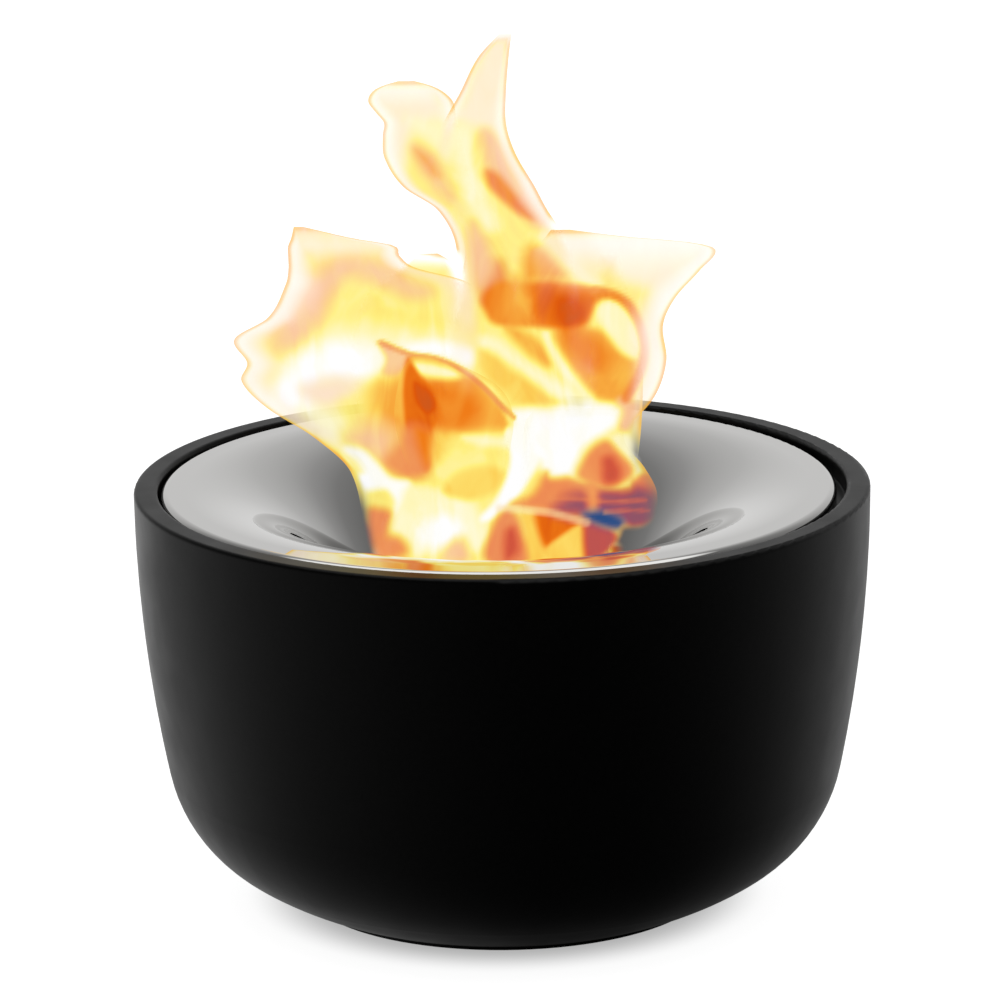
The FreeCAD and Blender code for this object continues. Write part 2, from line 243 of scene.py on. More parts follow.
def burning_vapour():
    """A yellow alcohol flame: a glowing, see-through sheath, white-hot in its billows, orange in its folds,
    blue where the vapour leaves the burner, and thinning out to a pale veil with a golden edge.
    The mesh carries how hot, red, blue, pale and thick each place is; the nodes add the fine wisps."""
    material, tree = empty_material("burning_vapour")
    wisp_width = 14 * MM
    wisp_length = 34 * MM
    place = add(tree, "ShaderNodeTexCoord").outputs["Object"]
    stretch = add(tree, "ShaderNodeMapping", {
        "Vector": place, "Scale": (1 / wisp_width, 1 / wisp_width, 1 / wisp_length)})
    wisp = add(tree, "ShaderNodeTexNoise", {"Vector": stretch.outputs["Vector"], "Scale": 1.0, "Detail": 2.0,
                                            "Roughness": 0.4, "Distortion": 2.0}).outputs["Fac"]
    hotness = add(tree, "ShaderNodeAttribute", attribute_name="hotness").outputs["Fac"]
    thickness = add(tree, "ShaderNodeAttribute", attribute_name="thickness").outputs["Fac"]
    redness = add(tree, "ShaderNodeAttribute", attribute_name="redness").outputs["Fac"]
    blueness = add(tree, "ShaderNodeAttribute", attribute_name="blueness").outputs["Fac"]
    paleness = add(tree, "ShaderNodeAttribute", attribute_name="paleness").outputs["Fac"]
    stir = add(tree, "ShaderNodeMapRange", {"Value": wisp, "From Min": 0.3, "From Max": 0.7,
                                            "To Min": -0.045, "To Max": 0.045},
               interpolation_type="SMOOTHSTEP")
    heat = add(tree, "ShaderNodeMath", {0: hotness, 1: stir.outputs["Result"]})
    glow = add(tree, "ShaderNodeValToRGB", {"Fac": heat.outputs[0]},
               ((0.0, "cc5a20"), (0.12, "de580c"), (0.26, "f07c18"), (0.40, "f8a63c"), (0.54, "fdd058"),
                (0.68, "fff07f"), (0.82, "fff8c4"), (1.0, "ffffff")))
    warm = add(tree, "ShaderNodeMixRGB", {"Fac": redness, "Color1": glow.outputs["Color"],
                                          "Color2": linear("e0543e")})
    cold = add(tree, "ShaderNodeMixRGB", {"Fac": blueness, "Color1": warm.outputs["Color"],
                                          "Color2": linear("2d4e84")})
    veiled = add(tree, "ShaderNodeMixRGB", {"Fac": paleness, "Color1": cold.outputs["Color"],
                                            "Color2": linear("fcdfcd")})
    ragged = add(tree, "ShaderNodeMapRange", {"Value": wisp, "From Min": 0.25, "From Max": 0.7,
                                              "To Min": 0.8, "To Max": 1.15})
    cover = add(tree, "ShaderNodeMath", {0: thickness, 1: ragged.outputs["Result"]}, operation="MULTIPLY",
                use_clamp=True)
    shader = add(tree, "ShaderNodeBsdfPrincipled", {
        "Base Color": (0, 0, 0, 1), "Specular IOR Level": 0.0, "Roughness": 1.0,
        "Emission Color": veiled.outputs["Color"], "Emission Strength": 1.0, "Alpha": cover.outputs[0]})
    add(tree, "ShaderNodeOutputMaterial", {"Surface": shader.outputs["BSDF"]})
    return material


# Flame

# A layer's middle and half its depth at the burner.  A billow lies in a layer; outline is how far its own
# edge shows before other billows.  A station is a height over the burner with the billow's left and right
# edge there.  All in millimetres from the burner's middle.
Layer = namedtuple("Layer", "depth bow")
FRONT = Layer(-19, 6)
MIDDLE = Layer(0, 9)
BACK = Layer(18, 6)
FAR_BACK = Layer(28.5, 3.5)
Billow = namedtuple("Billow", "name layer outline stations")
BILLOWS = (
    Billow("front_left", FRONT, 0.5, (
        (0, -16, -4), (34, -24, -5), (58, -25, -3), (71, -27, 2), (83, -31, 4), (94, -33, 5), (103, -32, 1),
        (110, -30, -10), (114, -27, -22))),
    Billow("front_right", FRONT, 0.2, (
        (0, 2, 18), (36, 2, 36), (54, 4, 49), (67, 6, 51), (76, 7, 47), (84, 8, 41), (92, 9, 40),
        (96, 12, 37))),
    Billow("left_billow", MIDDLE, 0.0, (
        (0, -30, -2), (43, -43, 2), (68, -48, 4), (80, -60, 3), (90, -75, 2), (99, -83, 0), (105, -81, -1),
        (113, -85, -3), (120, -74, -5), (131, -68, -9), (136, -67, -26), (140, -67, -31), (143.5, -67, -33),
        (146, -66, -46), (150, -65, -62))),
    Billow("right_billow", MIDDLE, 0.0, (
        (0, 4, 28), (43, 6, 33), (64, 8, 34), (80, 8, 41), (92, 6, 51), (104, 4, 55), (116, 3, 54),
        (125, 4, 58), (134, 8, 66), (141, 10, 71), (143.5, 14, 62), (145.5, 16, 42), (148, 18, 24))),
    Billow("tall_billow", BACK, 0.0, (
        (0, -10, 12), (54, -16, 20), (101, -18, 26), (124, -12, 26), (134, -10, 25), (141, -11, 22),
        (149, -15, 17), (157, -20, 13), (168, -21, 7), (178, -17, 4), (189, -11, 4), (201, -5, 5),
        (209, 2, 6))),
    Billow("back_left", BACK, 0.0, (
        (0, -26, -14), (54, -40, -20), (100, -48, -16), (120, -43, -11), (128, -34, -12), (132, -29, -15),
        (134.5, -25, -19))),
    Billow("back_right", BACK, 0.0, (
        (0, 16, 26), (54, 24, 44), (92, 30, 48), (118, 31, 44), (134, 34, 40))),
    Billow("lobe", FAR_BACK, 0.0, (
        (0, -8, 8), (45, -20, 18), (80, -18, 16), (110, -14, 10), (133, -13, 4), (146, -19, 0),
        (154, -30, -7), (164, -36, -9), (172, -36.5, -11), (176.5, -36, -12), (180, -38.5, -12.5),
        (184, -41, -13.5), (187.5, -39.5, -17), (189.5, -36, -21), (191, -31, -26))),
)
LAYER_SPREAD = 0.6                  # the layers part by this share half-way up
BILLOW_BOW = 0.5                    # half the depth of a billow against half its width
ROOT_SWELL = 0.65                   # share of that depth at the burner
TIP_SWELL = 0.06                    # share of it at the tip
TIP_HALF = 0.8                      # millimetres, half the least width
SWAY_DEPTH = 5.0                    # millimetres by which a billow's middle leans forward in each wave
SWAY_LENGTH = 80.0                  # millimetres from wave to wave
RING_STEP = 0.9                     # millimetres
BILLOW_COLUMNS = 76                 # from edge to edge, on each face

# One ring of a billow, from its left edge over the front face to the right edge and back over the rear face
face = np.linspace(-1, 1, BILLOW_COLUMNS + 1)
ring_turn = np.concatenate((face, face[-2:0:-1]))
ring_bulge = np.concatenate((face ** 2 - 1, 1 - face[-2:0:-1] ** 2))

# How hot, red, blue, pale and thick a part of the flame is
Tone = namedtuple("Tone", "hotness redness blueness paleness thickness")
WHITE = Tone(1.0, 0.0, 0.0, 0.0, 1.0)
CREAM = Tone(0.83, 0.0, 0.0, 0.0, 1.0)
YELLOW = Tone(0.68, 0.0, 0.0, 0.0, 1.0)
GOLD = Tone(0.55, 0.0, 0.0, 0.0, 1.0)
AMBER = Tone(0.42, 0.0, 0.0, 0.0, 1.0)
ORANGE = Tone(0.29, 0.0, 0.0, 0.0, 1.0)
DEEP_ORANGE = Tone(0.18, 0.0, 0.0, 0.0, 1.0)
EMBER = Tone(0.04, 0.0, 0.0, 0.0, 1.0)
PEACH = Tone(0.45, 0.05, 0.0, 0.45, 1.0)
HAZE = Tone(0.8, 0.0, 0.0, 0.55, 0.8)
PINK = Tone(0.8, 0.15, 0.0, 0.75, 1.0)
SALMON = Tone(0.36, 0.35, 0.0, 0.1, 1.0)
ROSE = Tone(0.38, 0.5, 0.0, 0.1, 1.0)
RUST = Tone(0.08, 0.4, 0.12, 0.0, 1.0)
RED = Tone(0.0, 0.5, 0.25, 0.0, 1.0)
PLUM = Tone(0.0, 0.15, 0.55, 0.0, 0.95)
BLUE = Tone(0.5, 0.0, 1.0, 0.0, 1.0)
CLEAR = Tone(0.5, 0.3, 0.2, 0.0, 0.0)

# Folds of the flame, laid one over the other: a tone, how soft its border is, and the border's points
# as place across from the bowl's axis and height over the burner, in millimetres
Fold = namedtuple("Fold", "tone soft border")
LEFT_FOLDS = (
    Fold(PEACH, 10, ((-74, 112), (-70, 122), (-62, 132), (-52, 139), (-40, 139), (-30, 133), (-22, 128),
                     (-30, 122), (-45, 122), (-58, 112), (-66, 106))),
    Fold(YELLOW, 9, ((-66, 106), (-60, 116), (-54, 127), (-48, 133), (-40, 131), (-30, 126), (-14, 121),
                     (-7, 118), (-7, 104), (-20, 104), (-40, 96), (-60, 98))),
    Fold(CREAM, 11, ((-70, 104), (-60, 112), (-45, 117), (-30, 115), (-12, 112), (-8, 104), (-20, 107),
                     (-40, 98), (-60, 96))),
    Fold(WHITE, 9, ((-74, 92), (-70, 102), (-62, 108), (-50, 111), (-41, 110), (-38.5, 104), (-40, 98.5),
                    (-52, 98), (-58, 95), (-60, 88), (-66, 86))),
    Fold(WHITE, 5, ((-30, 108), (-20, 106.5), (-11, 103), (-9, 108), (-18, 111), (-28, 111))),
    Fold(PINK, 9, ((-64, 96), (-54, 99), (-46, 97), (-48, 92), (-58, 90))),
    Fold(CREAM, 9, ((-72, 88), (-62, 90), (-50, 88), (-42, 80), (-48, 76), (-58, 78), (-68, 83))),
    Fold(YELLOW, 9, ((-52, 92), (-44, 97), (-38, 100), (-33, 95), (-33, 84), (-42, 82), (-50, 86))),
)
BULB_FOLDS = (
    Fold(PEACH, 3, ((-39.5, 111.5), (-37, 106), (-38, 101), (-34, 100), (-30, 104), (-30, 107.5),
                    (-34, 109.5))),
    Fold(AMBER, 10, ((-40, 97), (-33, 100), (-30, 96), (-29, 82), (-35, 80), (-41, 88))),
    Fold(AMBER, 3, ((-30, 106), (-20, 104.5), (-12, 100.5), (-5, 94.5), (1, 87), (2, 81), (-8, 80),
                    (-22, 80), (-30, 84), (-31, 96))),
    Fold(ORANGE, 10, ((-23, 97), (-12, 96), (-6, 88), (-12, 81), (-23, 80))),
    Fold(CREAM, 4, ((-28.5, 104.3), (-22, 104), (-14, 100.8), (-14, 98.6), (-22, 98.8), (-27, 101))),
    Fold(DEEP_ORANGE, 2.5, ((-29.5, 106), (-26, 100), (-22, 95), (-20.8, 90), (-21, 82), (-22, 74),
                            (-25, 68), (-30, 80), (-31.3, 92), (-31, 102))),
    Fold(EMBER, 3, ((-27.5, 97.5), (-24, 95), (-21.5, 90.5), (-22.5, 87.5), (-25.5, 89), (-27.5, 93))),
    Fold(PEACH, 12, ((-50, 80), (-42, 84), (-35, 80), (-37, 72), (-44, 74))),
    Fold(SALMON, 6.5, ((-34, 78), (-29, 83), (-22, 79), (-22.5, 71), (-25, 66.5), (-31, 65.5), (-36, 68),
                       (-38, 72))),
    Fold(ORANGE, 5, ((-28, 82), (-21, 80), (-22, 73), (-25, 70))),
    Fold(GOLD, 6, ((-21, 81), (-14, 79.5), (-12, 77), (-16, 73), (-22, 71))),
    Fold(YELLOW, 6.5, ((-16, 79), (-8, 80.5), (2, 80), (3, 70), (-2, 66), (-12, 70), (-18, 70))),
    Fold(CREAM, 4, ((-12, 79.5), (3, 78.5), (4, 76), (-8, 76.5))),
)
BASE_FOLDS = (
    Fold(WHITE, 4, ((-51, 76), (-45, 75.5), (-40, 70.5), (-36, 66), (-30, 64.5), (-31, 58), (-35, 52),
                    (-36.5, 51), (-35, 57), (-38, 61), (-43, 60), (-47, 66))),
    Fold(YELLOW, 4, ((-51, 74), (-47, 72), (-45, 68), (-48, 67), (-50, 70))),
    Fold(YELLOW, 4, ((-45, 61), (-38, 62), (-35.5, 58), (-38, 55.5), (-43, 56.5))),
    Fold(ROSE, 5, ((-44, 55), (-36.5, 54.5), (-36, 50), (-38, 45), (-44, 43))),
    Fold(PLUM, 4, ((-50, 51), (-46, 51), (-44, 46), (-45, 41), (-50, 41))),
    Fold(CREAM, 5, ((-34, 56), (-30, 63), (-20, 62), (-10, 58), (-6, 52), (-5, 44), (-12, 40), (-30, 40),
                    (-36, 44), (-37, 48))),
    Fold(SALMON, 6, ((-43, 46), (-34, 46), (-31, 41), (-38, 38), (-43, 39))),
    Fold(PEACH, 6, ((-18, 46), (-14, 47), (-11, 39), (-19, 38))),
    Fold(WHITE, 6, ((-26, 50), (-18, 53), (-13, 48), (-20, 43), (-26, 44))),
    Fold(GOLD, 4, ((-19, 61.5), (-15, 67), (-8, 69.5), (-2, 69), (1, 66), (-3, 60.5), (-9, 58.5),
                   (-14, 58.6))),
    Fold(WHITE, 3, ((2, 82), (13, 83), (13, 73), (9, 65), (3, 57), (-2, 52.5), (-6, 51), (-7, 52.5),
                    (-3, 57), (1, 64), (3, 72))),
    Fold(WHITE, 5, ((4, 88), (16, 88.5), (26, 90), (38, 88.5), (37, 83), (31, 78.5), (26, 74), (22, 66),
                    (15, 65.5), (11, 72), (6, 78))),
    Fold(SALMON, 5, ((3, 56.5), (10, 60), (14, 67), (16, 65), (25, 65.5), (33, 62), (40, 61.5), (32, 57),
                     (22, 54), (12, 54.5))),
    Fold(GOLD, 4, ((6, 54), (11, 53), (12, 45), (13, 38), (6, 38), (7, 47))),
    Fold(ROSE, 4.5, ((-6, 39), (-4, 47), (-1, 53), (2, 55), (5, 52), (6.5, 46), (7.5, 36), (0, 34))),
    Fold(RUST, 5, ((1, 47), (4, 48), (5, 41), (1, 38))),
    Fold(DEEP_ORANGE, 4, ((10.5, 54), (16, 54), (27, 50.5), (22, 47.5), (17, 44), (14, 41.5), (11.5, 47))),
    Fold(GOLD, 3, ((13, 41), (19, 45.5), (25, 49.5), (26.5, 44), (26.5, 37), (17, 37))),
    Fold(RED, 4, ((26.5, 51), (31, 50), (37, 45.5), (37, 40), (31, 37), (27, 38))),
    Fold(CREAM, 3.5, ((22, 66.5), (25, 74), (31, 78.5), (36, 79), (41, 80), (46, 75), (50, 70.5), (47, 67),
                      (42, 63), (36, 60.5), (30, 62))),
    Fold(SALMON, 4.5, ((24, 66.5), (28, 74), (33.5, 77.5), (38, 73.5), (42, 68.5), (40.5, 64.5), (34, 62),
                       (28, 63))),
    Fold(RUST, 5, ((32.5, 71), (35.5, 72), (38, 68), (37, 64), (33, 64))),
    Fold(SALMON, 3.5, ((42, 63.5), (46, 66.5), (50.5, 66.5), (53, 63), (50, 58), (44, 58))),
    Fold(PLUM, 6, ((29, 60), (40, 60.5), (44, 62), (50, 58), (50, 49), (44, 46), (38, 50), (29, 53))),
    Fold(PLUM, 9, ((17, 55), (23, 59.5), (29, 59), (29, 53), (22, 53))),
    Fold(SALMON, 4, ((27, 63), (30.5, 63), (31, 57), (30, 53), (27.8, 53), (27.2, 57))),
    Fold(BLUE, 4.5, ((26, 54), (33, 54.5), (39, 51.5), (38, 47.5), (32, 48.5), (27, 51))),
    Fold(CLEAR, 3.5, ((38.8, 48.8), (45, 49.5), (54, 52), (58, 40), (50, 30), (28, 30), (28, 37.5),
                      (32, 39.5), (35, 42.5), (37, 45.5))),
)
RIGHT_FOLDS = (
    Fold(HAZE, 8, ((26, 152), (40, 148), (74, 146), (70, 134), (60, 126), (52, 120), (48, 128), (38, 133))),
    Fold(GOLD, 5, ((-7, 111), (-3, 108), (3, 106), (10, 100), (17, 93), (22, 90), (6, 90), (0, 95),
                   (-7, 102))),
    Fold(CREAM, 5, ((-6, 113), (0, 112), (8, 105), (18, 98), (30, 90.5), (22, 90), (14, 95), (6, 101),
                    (-2, 108), (-7, 110))),
    Fold(AMBER, 4.5, ((2, 116), (12, 112), (16.5, 104), (14, 103), (8, 108))),
    Fold(CREAM, 4, ((14, 113), (17, 113), (23, 102), (31, 92), (29, 90.5), (22, 97), (17, 105))),
    Fold(AMBER, 4.5, ((17, 114), (26, 115), (33, 114), (38, 108), (44, 105), (44, 98), (41, 91.5), (32, 91),
                      (25, 99), (20, 106))),
    Fold(ORANGE, 7, ((20, 114), (30, 113), (36, 106), (31, 101), (23, 106))),
    Fold(ORANGE, 3.5, ((-6, 127), (0, 132), (6, 130.7), (14, 130.7), (24, 130), (33, 128), (41, 123.5),
                       (38, 124.5), (31, 124), (29, 120), (26, 116.5), (16, 115.3), (5, 116.5), (-2, 117.5),
                       (-5, 122))),
    Fold(DEEP_ORANGE, 6, ((13, 129), (24, 128), (31, 125), (28.5, 120), (26, 116.5), (14, 117))),
    Fold(EMBER, 8, ((18, 125), (25, 124), (28, 120), (25, 116), (19, 117))),
    Fold(AMBER, 7, ((4, 133), (9, 130), (9, 118), (3, 118))),
    Fold(CREAM, 4, ((32, 122), (35, 124), (39.5, 122.5), (43.5, 117), (45.3, 110), (44, 105), (40, 106.5),
                    (36, 112), (32, 118))),
    Fold(CREAM, 3.5, ((49, 112), (52, 104), (51, 95), (46, 90), (44, 92), (47, 99), (48.5, 106))),
    Fold(PEACH, 4, ((38, 91), (42, 91), (47, 89), (44, 84), (41, 81), (37.5, 83))),
)
TALL_FOLDS = (
    Fold(HAZE, 8, ((-44, 196), (-38, 202), (-26, 202), (-14, 190), (-6, 205), (0, 218), (8, 218), (6, 190),
                   (2, 178), (-6, 183), (-18, 184), (-28, 183), (-33, 168), (-42, 178))),
    Fold(YELLOW, 6.5, ((-1, 153), (8, 151), (14, 146), (19, 138), (26, 132), (18, 131), (8, 132),
                       (3, 140))),
    Fold(AMBER, 7, ((9, 143), (15, 142), (21, 136), (22, 131.5), (8, 131.5))),
    Fold(SALMON, 7, ((-6, 131), (-3, 138), (1, 138), (3, 131), (2, 124), (-5, 125))),
    Fold(CREAM, 6.5, ((14, 152), (17, 148), (24, 138), (33, 129), (27, 130), (20, 138), (13, 147))),
    Fold(CREAM, 6.5, ((-16, 182), (-10, 184), (-7, 172), (-4, 160), (0, 150), (-7, 148), (-10, 156),
                      (-14, 168))),
    Fold(PEACH, 7, ((-9, 152), (-4, 146), (-2, 136), (-7, 130), (-10, 140))),
    Fold(YELLOW, 4, ((-7, 180), (-4.5, 181), (-2, 175), (0, 168), (-4, 165), (-8, 170), (-8, 175))),
    Fold(PEACH, 6.5, ((-5, 182), (0, 180), (5, 170), (11, 161), (17, 152), (12, 150), (4, 160), (-3, 170))),
    Fold(ORANGE, 4, ((-4, 169), (0, 168), (5.5, 161.5), (12, 153), (7, 154), (1, 159), (-3.5, 164))),
    Fold(CREAM, 7.5, ((-30, 187), (-22, 187), (-15, 186), (-11, 180), (-16, 172), (-22, 178))),
    Fold(PEACH, 7.5, ((-28, 178), (-22, 175), (-18, 167), (-15, 160), (-19, 163), (-25, 171))),
    Fold(AMBER, 5, ((-27, 177), (-22, 174), (-18.5, 168), (-21.5, 168), (-25, 172.5))),
    Fold(CLEAR, 8, ((-8, 228), (16, 228), (16, 213.5), (4, 212.5), (-8, 213.5))),
)
FOLDS = LEFT_FOLDS + TALL_FOLDS + RIGHT_FOLDS + BULB_FOLDS + BASE_FOLDS

# Thin lips along the folds: a tone, how far it covers, a width and the points of its line
Lip = namedtuple("Lip", "tone share width line")
LIPS = (
    Lip(SALMON, 0.8, 1.5, ((-38.5, 111), (-30, 107.3), (-20, 105.4), (-12, 101.2), (-5, 95), (0, 89.5),
                           (4, 86))),
    Lip(ORANGE, 0.85, 2.6, ((31, 127.5), (37, 126), (42, 122), (45.5, 115), (46.8, 108), (45.5, 101),
                            (42, 94), (40.5, 91.5))),
    Lip(PINK, 0.35, 2.0, ((-1, 55.3), (6, 54.8), (14, 54), (20, 52.5), (27, 50.2))),
    Lip(SALMON, 0.5, 1.3, ((14, 58.5), (24, 58.2), (34, 57.2), (46, 57.5))),
    Lip(ROSE, 0.4, 1.1, ((33, 53.8), (40, 54.2), (47, 54))),
)
LIP_CORE = 0.2                      # share of a lip's width that has its full tone
FOLD_LEAN = 0.26                    # the folds rise by this share towards the back
CURVE_STEPS = 6                     # corners of a border or line from one point to the next

# A billow's body under the folds, the pale veil inside its edge, the golden line along the edge, and the
# clear blue root over the burner.  Pairs are where something begins and where it is complete, in
# millimetres.
BODY = Tone(0.68, 0.0, 0.0, 0.0, 1.0)
BODY_COVER = 0.8
VEIL_WIDTH = 15.0                   # millimetres
VEIL_SHARE = 0.55                   # widest veil against half the billow's width
VEIL_START = 0.1                    # share of the veil's width that is full veil
VEIL_COVER = 0.3
VEIL_PALE = 0.85
VEIL_BEHIND = (1.0, 14.0)           # depth inside another billow that hides the veil
VEIL_LEVELS = (72, 92)
LINE_HEAT = 0.47
LINE_COVER = 0.55
LINE_WIDTH = (0.3, 2.6)
LINE_BEHIND = (0.0, 6.0)            # depth inside another billow that hides the line
LINE_LEVELS = (54, 74)
OUTLINE_LEVELS = (70, 95)           # where a billow's own outline shows before others
MELT_WIDTH = (0.0, 5.0)             # an edge without a line fades out over this
TIP_REACH = 0.7                     # distance from the tip counts by this share
FAR_OUTSIDE = -50.0                 # millimetres, where there is no other billow
ROOT_HEIGHTS = (4, 36)
ROOT_BLUE = 0.5
ROOT_COVER = 0.3


def edges_at(stations, height):
    """Left and right edge of a billow at a height, on smooth curves through its stations."""
    index = max(i for i in range(len(stations) - 1) if stations[i][0] <= height + 1e-6)
    picked = [stations[max(0, min(len(stations) - 1, index + step))] for step in (-1, 0, 1, 2)]
    before, start, end, after = (Vector(station) for station in picked)
    span = end[0] - start[0]
    t = (height - start[0]) / span
    leave = (end - before) * (span / (end[0] - before[0]))
    arrive = (after - start) * (span / (after[0] - start[0]))
    curve = ((2 * t ** 3 - 3 * t ** 2 + 1) * start + (t ** 3 - 2 * t ** 2 + t) * leave
             + (3 * t ** 2 - 2 * t ** 3) * end + (t ** 3 - t ** 2) * arrive)
    return curve[1], curve[2]


def ease(value, start, end):
    t = np.clip((value - start) / (end - start), 0.0, 1.0)
    return t * t * (3 - 2 * t)


def blend(first, second, share):
    return first + (second - first) * share


def curve_through(points, closed):
    """Corners of a smooth curve through the points."""
    knots = np.array(points, float)
    ends = (knots[-1:], knots[:2]) if closed else (knots[:1], knots[-1:])
    knots = np.concatenate((ends[0], knots, ends[1]))
    t = np.linspace(0, 1, CURVE_STEPS, endpoint=False)[:, None]
    spans = []
    for a, b, c, d in zip(knots, knots[1:], knots[2:], knots[3:]):
        spans.append(b + 0.5 * ((c - a) * t + (2 * a - 5 * b + 4 * c - d) * t ** 2
                                + (3 * b - a - 3 * c + d) * t ** 3))
    return np.concatenate(spans + [knots[-2:-1]])


def distance_to(curve, places):
    """Distance of places from a curve, and whether the curve goes round them."""
    nearest = np.full(len(places), np.inf)
    inside = np.zeros(len(places), bool)
    for start, end in zip(curve[:-1], curve[1:]):
        along = end - start
        share = np.clip((places - start) @ along / (along @ along), 0, 1)
        nearest = np.minimum(nearest, np.linalg.norm(places - start - share[:, None] * along, axis=1))
        passed = (start[1] > places[:, 1]) != (end[1] > places[:, 1])
        rise = along[1] if along[1] else 1.0
        inside ^= passed & (places[:, 0] < start[0] + along[0] * (places[:, 1] - start[1]) / rise)
    return nearest, inside


def lay_tone(fields, tone, near, share):
    for name, value in tone._asdict().items():
        fields[name][near] = blend(fields[name][near], value, share)


def lay_folds(fields, places):
    """Lays the folds, then their lips, over the fields at the given places."""
    for fold in FOLDS:
        curve = curve_through(fold.border, True)
        near = np.all((places > curve.min(0) - fold.soft) & (places < curve.max(0) + fold.soft), axis=1)
        nearest, inside = distance_to(curve, places[near])
        lay_tone(fields, fold.tone, near,
                 ease(np.where(inside, nearest, -nearest), -fold.soft / 2, fold.soft / 2))
    for lip in LIPS:
        curve = curve_through(lip.line, False)
        near = np.all((places > curve.min(0) - lip.width) & (places < curve.max(0) + lip.width), axis=1)
        nearest = distance_to(curve, places[near])[0]
        lay_tone(fields, lip.tone, near, lip.share * (1 - ease(nearest, LIP_CORE * lip.width, lip.width)))


Corner = namedtuple("Corner", "across level height inside behind veil_width")


def billow_sheath(billow):
    """Corners of a lens-shaped sheath between a billow's edges, ring by ring up to its tip.  With them goes
    what the tones need: each corner's place across and level on the folds, its height, how far it is inside
    the billow's own edge and inside other billows, and the veil's width there."""
    top = billow.stations[-1][0]
    others = [other for other in BILLOWS if other is not billow]
    rings = round(top / RING_STEP)
    verts, corners = [], []
    for ring in range(rings + 1):
        height = top * ring / rings
        share = height / top
        left, right = edges_at(billow.stations, height)
        half = max((right - left) / 2, TIP_HALF)
        taper = max(math.sqrt(1 - share ** 2), TIP_SWELL)
        swell = (ROOT_SWELL + (1 - ROOT_SWELL) * math.sin(math.pi * share)) * taper
        sway = SWAY_DEPTH * (1 - math.cos(2 * math.pi * height / SWAY_LENGTH)) / 2 * taper
        spread = 1 + LAYER_SPREAD * math.sin(math.pi * height * MM / flame_height)
        bow = min(BILLOW_BOW * half, billow.layer.bow) * swell
        x = (left + right) / 2 + half * ring_turn
        y = (billow.layer.depth + bow * ring_bulge - sway * (1 - ring_turn ** 2)) * spread
        verts.extend((plate_middle + a * MM, b * MM, flame_base + height * MM) for a, b in zip(x, y))
        behind = np.full(len(x), FAR_OUTSIDE)
        for other in others:
            over = other.stations[-1][0] - height
            if over > 0:
                low, high = edges_at(other.stations, height)
                behind = np.maximum(behind, np.minimum(np.minimum(x - low, high - x), over))
        corners.append(Corner(
            across=x + plate_middle / MM, level=height + FOLD_LEAN * y, height=np.full(len(x), height),
            inside=np.minimum(half * (1 - np.abs(ring_turn)), (top - height) * TIP_REACH), behind=behind,
            veil_width=np.full(len(x), min(VEIL_WIDTH, VEIL_SHARE * half))))
    return verts, Corner(*map(np.concatenate, zip(*corners)))


def billow_tones(billow, corner):
    """How hot, red, blue, pale and thick each corner of a billow's sheath is."""
    fields = {name: np.full(len(corner.across), value) for name, value in BODY._asdict().items()}
    lay_folds(fields, np.column_stack((corner.across, corner.level)))
    shown = np.maximum(1 - ease(corner.behind, *LINE_BEHIND),
                       billow.outline * ease(corner.height, *OUTLINE_LEVELS))
    bare = shown * ease(corner.level, *LINE_LEVELS)
    line = (1 - ease(corner.inside, *LINE_WIDTH)) * bare
    melt = (1 - ease(corner.inside, *MELT_WIDTH)) * (1 - bare)
    veil = (1 - ease(corner.inside, VEIL_START * corner.veil_width, corner.veil_width)) * (
        1 - ease(corner.behind, *VEIL_BEHIND)) * ease(corner.level, *VEIL_LEVELS)
    root = 1 - ease(corner.height, *ROOT_HEIGHTS)
    cover = np.maximum(blend(BODY_COVER, VEIL_COVER, veil) * (1 - melt), LINE_COVER * line)
    fields["hotness"] = blend(fields["hotness"], LINE_HEAT, line)
    fields["redness"] = fields["redness"] * (1 - line)
    fields["blueness"] = np.maximum(fields["blueness"], ROOT_BLUE * root)
    fields["paleness"] = np.maximum(fields["paleness"], VEIL_PALE * veil) * (1 - line)
    fields["thickness"] = fields["thickness"] * cover * blend(1.0, ROOT_COVER, root)
    return fields


def billow_mesh(billow):
    """Closed sheath of a billow, with its tones as attributes."""
    verts, corner = billow_sheath(billow)
    sides = len(ring_turn)
    last = len(verts) - sides
    faces = []
    for low in range(0, last, sides):
        for side in range(sides):
            following = (side + 1) % sides
            faces.append((low + side, low + following, low + sides + following, low + sides + side))
    faces.append(tuple(reversed(range(sides))))
    faces.append(tuple(range(last, last + sides)))
    mesh = bpy.data.meshes.new(billow.name)
    mesh.from_pydata(verts, [], faces)
    for field, values in billow_tones(billow, corner).items():
        mesh.attributes.new(field, "FLOAT", "POINT").data.foreach_set("value", values.astype(np.float32))
    mesh.shade_smooth()
    return mesh


def make_flame():
    vapour = burning_vapour()
    for billow in BILLOWS:
        piece = bpy.data.objects.new("flame_" + billow.name, billow_mesh(billow))
        bpy.context.scene.collection.objects.link(piece)
        piece.data.materials.append(vapour)
        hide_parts("flame")
        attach(piece, "burner")


# Finishes of the CAD nodes

def paint_nodes():
    glaze = satin_black_glaze()
    silicone = black_silicone()
    steel = tinted_stainless()
    finishes = {"bowl": glaze, "foot_ring": silicone, "seat_pad_1": silicone, "seat_pad_2": silicone,
                "seat_pad_3": silicone, "fire_plate": polished_stainless(), "burner_seat": steel,
                "burner_cup": steel, "burner_cap": steel, "burner_mesh": steel, "wick_pad": ceramic_fibre()}
    for name, material in finishes.items():
        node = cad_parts[name]
        node.data.materials.clear()
        node.data.materials.append(material)


# Studio

LAMP_EDGE = (0.74, 0.84)            # upward part of a direction where the lamp field begins and is full
LAMP_STRENGTH = 1.05


